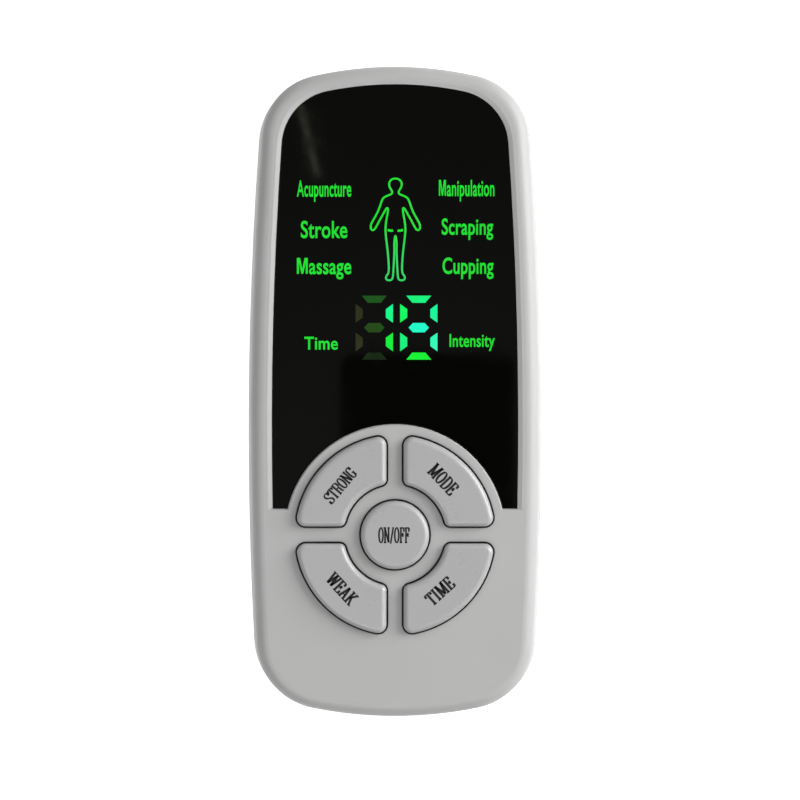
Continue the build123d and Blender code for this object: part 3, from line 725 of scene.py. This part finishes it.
# ---------------------------------------------------------------- floor and wall
def stage_object(name, mesh, material):
    """Puts a studio mesh in the scene, attached to no body."""
    mesh.materials.append(material)
    obj = bpy.data.objects.new(name, mesh)
    scene.collection.objects.link(obj)
    return obj


def hide_from(obj, *rays):
    """Keeps an object out of these kinds of rays."""
    for ray in rays:
        setattr(obj, f"visible_{ray}", False)


FLOOR = 6.0  # half its side
FLOOR_DROP = 0.02 * MM
FLOOR_GLOW = 0.75
WALL_SIDES = 64
WALL_RADIUS = 0.98 * FLOOR
WALL_FOOT, WALL_TOP = -0.01, 4.0
WALL_FADE = (0.1, 2.2)  # heights between which the wall turns from white to grey
WALL_GREY = (0.62, 0.62, 0.63, 1)


def floor_paper():
    """White paper with a little glow of its own, so that it stays white."""
    m = Material("paper")
    m.link(m.mix(m.noise(0.01, 3), linear(243, 243, 243), linear(248, 248, 248)), "Base Color")
    m.set(Roughness=0.9, Emission_Color=(1, 1, 1, 1), Emission_Strength=FLOOR_GLOW)
    return m.material


def wall_paper():
    """White at the floor and a soft grey above."""
    m = Material("backdrop_paper")
    m.link(m.mix(m.ramp(m.along("Z"), *WALL_FADE), (1, 1, 1, 1), WALL_GREY), "Emission Color")
    m.set(Emission_Strength=1.0, Base_Color=(0, 0, 0, 1), Specular_IOR_Level=0.0)
    return m.material


floor_mesh = bpy.data.meshes.new("floor")
floor_corners = [(x * FLOOR, y * FLOOR, 0) for x, y in ((-1, -1), (1, -1), (1, 1), (-1, 1))]
floor_mesh.from_pydata(floor_corners, [], [(0, 1, 2, 3)])
floor = stage_object("floor", floor_mesh, floor_paper())
floor.location.z = -FLOOR_DROP
hide_from(floor, "diffuse")

# a round wall behind everything, which only the camera sees
wall_mesh = bpy.data.meshes.new("backdrop")
turns = [2 * math.pi * n / WALL_SIDES for n in range(WALL_SIDES)]
ring = [(WALL_RADIUS * math.cos(t), WALL_RADIUS * math.sin(t)) for t in turns]
wall_corners = [(x, y, z) for z in (WALL_FOOT, WALL_TOP) for x, y in ring]
wall_sides = []
for n in range(WALL_SIDES):
    k = (n + 1) % WALL_SIDES
    wall_sides.append((k, n, n + WALL_SIDES, k + WALL_SIDES))
wall_mesh.from_pydata(wall_corners, [], wall_sides)
wall = stage_object("backdrop", wall_mesh, wall_paper())
hide_from(wall, "diffuse", "glossy", "shadow", "transmission")

# ---------------------------------------------------------------- light
LIGHT_AIM = Vector((0, 0, 0.01))
LAMPS = [
    # name, place, size, watts
    ("key", (0.73, 0.26, 0.36), (0.60, 0.66), 8.2),
    ("fill", (-0.28, -0.46, 0.85), (0.60, 0.50), 2.5),
]
# light from the room, by the direction that it comes from: a range along an axis, then its strength there
WALLS_X, WALLS_LIGHT = (-0.95, 0.1), (0.24, 0.43)
CEILING_Y, CEILING_LIGHT = (-0.02, 0.09), (0.13, 0.06)
CEILING_Z = (0.90, 0.99)


def area_light(name, at, size, watts):
    data = bpy.data.lights.new(name, "AREA")
    data.shape = "RECTANGLE"
    data.size, data.size_y = size
    data.energy = watts
    light = bpy.data.objects.new(name, data)
    light.location = at
    light.rotation_euler = (LIGHT_AIM - Vector(at)).to_track_quat("-Z", "Y").to_euler()
    scene.collection.objects.link(light)
    hide_from(light, "camera")


def studio_world():
    """Soft light from all round the room, less from the left and much less from straight overhead."""
    world = bpy.data.worlds.new("studio")
    world.use_nodes = True
    tree = world.node_tree
    where = tree.nodes.new("ShaderNodeTexCoord")
    split = tree.nodes.new("ShaderNodeSeparateXYZ")
    tree.links.new(where.outputs["Generated"], split.inputs["Vector"])
    walls = map_range(tree, split.outputs["X"], *WALLS_X, *WALLS_LIGHT)
    ceiling = map_range(tree, split.outputs["Y"], *CEILING_Y, *CEILING_LIGHT)
    room = map_range(tree, split.outputs["Z"], *CEILING_Z, walls, ceiling)
    background = tree.nodes["Background"].inputs
    background["Color"].default_value = (1, 1, 1, 1)
    tree.links.new(room, background["Strength"])
    return world


for lamp in LAMPS:
    area_light(*lamp)
scene.world = studio_world()

# ---------------------------------------------------------------- reflections in the window
# just over the camera, so a point there is seen in the window at about half its x and y
REFLECTED_HEIGHT = 662.0
CARD_THICK = 2.0
FLAG_LOW = (-22.6, -80.0)
FLAG_HIGH = (46.2, 16.5)
FLAG_CORNER = 5.0
CORNER_STEPS = 6
STREAK = [(-39.6, 114.6), (-37.4, 114.6), (-30.6, 86.2), (-32.8, 86.2)]


def flag_cloth():
    """Black cloth that gives nothing back."""
    m = Material("flag_cloth")
    m.link(m.mix(m.noise(1.0), linear(4, 4, 4), linear(8, 8, 8)), "Base Color")
    m.set(Roughness=1.0, Specular_IOR_Level=0.0)
    return m.material


def strip_glow():
    """A faint warm glow, a little uneven."""
    m = Material("strip_glow")
    m.link(m.mix(m.noise(0.02), (0.26, 0.26, 0.13, 1), (0.40, 0.40, 0.22, 1)), "Emission Color")
    m.set(Emission_Strength=1.0, Roughness=1.0, Specular_IOR_Level=0.0)
    return m.material


def rounded_rectangle(low, high, radius):
    """The outline of a rectangle with round corners, from its right upper one."""
    outline = []
    for corner, (right, upper) in enumerate(((True, True), (False, True), (False, False), (True, False))):
        cx = high[0] - radius if right else low[0] + radius
        cy = high[1] - radius if upper else low[1] + radius
        for step in range(CORNER_STEPS + 1):
            turn = math.radians(90 * (corner + step / CORNER_STEPS))
            outline.append((cx + radius * math.cos(turn), cy + radius * math.sin(turn)))
    return outline


def reflected_card(name, outline, material):
    """A card over the camera that only gloss sees."""
    bm = bmesh.new()
    placed = [(x * MM, y * MM) for x, y in outline]
    add_plate(bm, placed, REFLECTED_HEIGHT * MM, CARD_THICK * MM)
    card = stage_object(name, mesh_from(bm, name), material)
    hide_from(card, "camera", "diffuse", "shadow")


reflected_card("flag", rounded_rectangle(FLAG_LOW, FLAG_HIGH, FLAG_CORNER), flag_cloth())
reflected_card("strip", STREAK, strip_glow())
